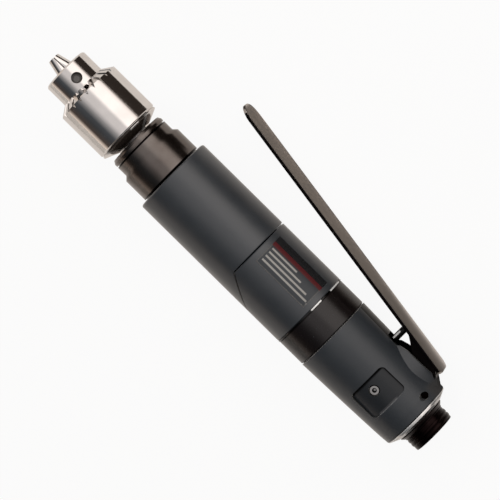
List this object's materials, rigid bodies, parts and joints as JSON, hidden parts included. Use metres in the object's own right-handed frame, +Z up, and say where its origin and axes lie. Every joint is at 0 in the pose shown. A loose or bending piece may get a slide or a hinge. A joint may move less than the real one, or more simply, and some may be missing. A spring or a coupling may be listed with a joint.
{
  "type": "straight air drill",
  "caption": "Straight pneumatic hand drill with a lever throttle on a round grip, vane motor, planetary gear and keyed three-jaw chuck.",
  "frame": {"origin": "on the spindle axis at the rear face of the air inlet", "axes": "+X along the spindle axis toward the chuck; +Z up from the surface that the tool lies on; the lever points to -Y, slanting down to that surface"},
  "size_m": [0.2691, 0.0757, 0.0438],
  "materials": {
    "composite": "satin moulded composite, dark blue-grey, fine grain",
    "gloss_black": "gloss black",
    "black_oxide": "black oxide on turned steel",
    "polished_chrome": "ground and polished steel",
    "bright_ring": "bright turned steel",
    "lever_nickel": "satin nickel on sheet steel",
    "machined_steel": "machined steel",
    "bronze": "turned bronze",
    "seal_rubber": "black nitrile rubber",
    "vane_fibre": "laminated fibre and felt"
  },
  "bodies": {
    "housing": {"inlet_bushing": "black_oxide", "inlet_screen": "bronze", "rear_ring": "bright_ring", "throttle_housing": "composite", "valve_seat": "bronze", "valve_spring": "machined_steel", "plunger_bushing": "bronze", "plunger_o_ring": "seal_rubber", "lever_pin": "machined_steel", "side_screw": "bright_ring", "exhaust_band": "gloss_black", "muffler_ring": "vane_fibre", "spacer_ring": "bright_ring", "motor_housing": "composite", "label_plate": "gloss_black", "motor_cylinder": "machined_steel", "rear_end_plate": "machined_steel", "front_end_plate": "machined_steel", "motor_dowel": "machined_steel", "rear_bearing_outer": "machined_steel", "front_bearing_outer": "machined_steel", "front_grip": "composite", "gear_case": "black_oxide", "ring_gear": "machined_steel", "spindle_bush": "bronze", "spindle_bearing_outer": "machined_steel", "bearing_cap": "black_oxide", "spindle_seal": "seal_rubber"},
    "lever": {"throttle_lever": "lever_nickel"},
    "plunger": {"throttle_plunger": "bright_ring"},
    "valve": {"throttle_valve": "machined_steel"},
    "rotor": {"rotor": "machined_steel", "vanes": "vane_fibre", "rear_bearing_inner": "machined_steel", "front_bearing_inner": "machined_steel"},
    "rear_cage": {"rear_bearing_balls": "machined_steel"},
    "front_cage": {"front_bearing_balls": "machined_steel"},
    "spindle": {"spindle": "machined_steel", "planet_pins": "machined_steel", "spindle_bearing_inner": "machined_steel", "chuck_body": "polished_chrome"},
    "spindle_cage": {"spindle_bearing_balls": "machined_steel"},
    "planet_1": {"planet_gear_1": "machined_steel"},
    "planet_2": {"planet_gear_2": "machined_steel"},
    "planet_3": {"planet_gear_3": "machined_steel"},
    "chuck_sleeve": {"chuck_sleeve": "polished_chrome", "chuck_nut": "machined_steel"},
    "jaw_1": {"chuck_jaw_1": "polished_chrome"},
    "jaw_2": {"chuck_jaw_2": "polished_chrome"},
    "jaw_3": {"chuck_jaw_3": "polished_chrome"}
  },
  "joints": [
    {"name": "spindle_spin", "type": "hinge", "parent": "housing", "child": "spindle", "pos_m": [0.2, 0, 0], "axis": [1, 0, 0], "continuous": true},
    {"name": "rotor_spin", "type": "hinge", "parent": "housing", "child": "rotor", "pos_m": [0.0935, 0, 0], "axis": [1, 0, 0], "continuous": true},
    {"name": "spindle_cage_spin", "type": "hinge", "parent": "housing", "child": "spindle_cage", "pos_m": [0.1966, 0, 0], "axis": [1, 0, 0], "continuous": true},
    {"name": "front_cage_spin", "type": "hinge", "parent": "housing", "child": "front_cage", "pos_m": [0.119, 0, 0], "axis": [1, 0, 0], "continuous": true},
    {"name": "rear_cage_spin", "type": "hinge", "parent": "housing", "child": "rear_cage", "pos_m": [0.068, 0, 0], "axis": [1, 0, 0], "continuous": true},
    {"name": "planet_1_spin", "type": "hinge", "parent": "spindle", "child": "planet_1", "pos_m": [0.1326, -0.00815, -0.00205], "axis": [1, 0, 0], "continuous": true},
    {"name": "planet_2_spin", "type": "hinge", "parent": "spindle", "child": "planet_2", "pos_m": [0.1326, 0.00585, -0.00603], "axis": [1, 0, 0], "continuous": true},
    {"name": "planet_3_spin", "type": "hinge", "parent": "spindle", "child": "planet_3", "pos_m": [0.1326, 0.0023, 0.00808], "axis": [1, 0, 0], "continuous": true},
    {"name": "sleeve_turn", "type": "hinge", "parent": "spindle", "child": "chuck_sleeve", "pos_m": [0.23, 0, 0], "axis": [1, 0, 0], "range_deg": [0, 2520]},
    {"name": "jaw_1_slide", "type": "slide", "parent": "spindle", "child": "jaw_1", "axis": [-0.9659, -0.2571, -0.0299], "range_m": [0, 0.018]},
    {"name": "jaw_2_slide", "type": "slide", "parent": "spindle", "child": "jaw_2", "axis": [-0.9659, 0.1544, -0.2077], "range_m": [0, 0.018]},
    {"name": "jaw_3_slide", "type": "slide", "parent": "spindle", "child": "jaw_3", "axis": [-0.9659, 0.1027, 0.2376], "range_m": [0, 0.018]},
    {"name": "lever_swing", "type": "hinge", "parent": "housing", "child": "lever", "pos_m": [0.018, -0.01377, -0.00347], "axis": [0, -0.2441, 0.9698], "range_deg": [0, 8], "stiffness_Nm_per_rad": 2, "springref_deg": -34.38},
    {"name": "plunger_slide", "type": "slide", "parent": "housing", "child": "plunger", "axis": [0, 0.9698, 0.2441], "range_m": [0, 0.0044]},
    {"name": "valve_tilt", "type": "hinge", "parent": "housing", "child": "valve", "pos_m": [0.0309, -0.00543, -0.00137], "axis": [0, -0.2441, 0.9698], "range_deg": [0, 15], "deforming": ["valve_spring"]}
  ],
  "couplings": [
    {"joint": "rotor_spin", "follows": "spindle_spin", "ratio": 4},
    {"joint": "spindle_cage_spin", "follows": "spindle_spin", "ratio": 0.4102},
    {"joint": "front_cage_spin", "follows": "spindle_spin", "ratio": 1.6276},
    {"joint": "rear_cage_spin", "follows": "spindle_spin", "ratio": 1.6276},
    {"joint": "planet_1_spin", "follows": "spindle_spin", "ratio": -3},
    {"joint": "planet_2_spin", "follows": "spindle_spin", "ratio": -3},
    {"joint": "planet_3_spin", "follows": "spindle_spin", "ratio": -3},
    {"joint": "jaw_1_slide", "follows": "sleeve_turn", "m_per_rad": 0.00040926},
    {"joint": "jaw_2_slide", "follows": "sleeve_turn", "m_per_rad": 0.00040926},
    {"joint": "jaw_3_slide", "follows": "sleeve_turn", "m_per_rad": 0.00040926},
    {"joint": "plunger_slide", "follows": "lever_swing", "m_per_rad": 0.0313},
    {"joint": "valve_tilt", "follows": "lever_swing", "ratio": 1.8125}
  ]
}
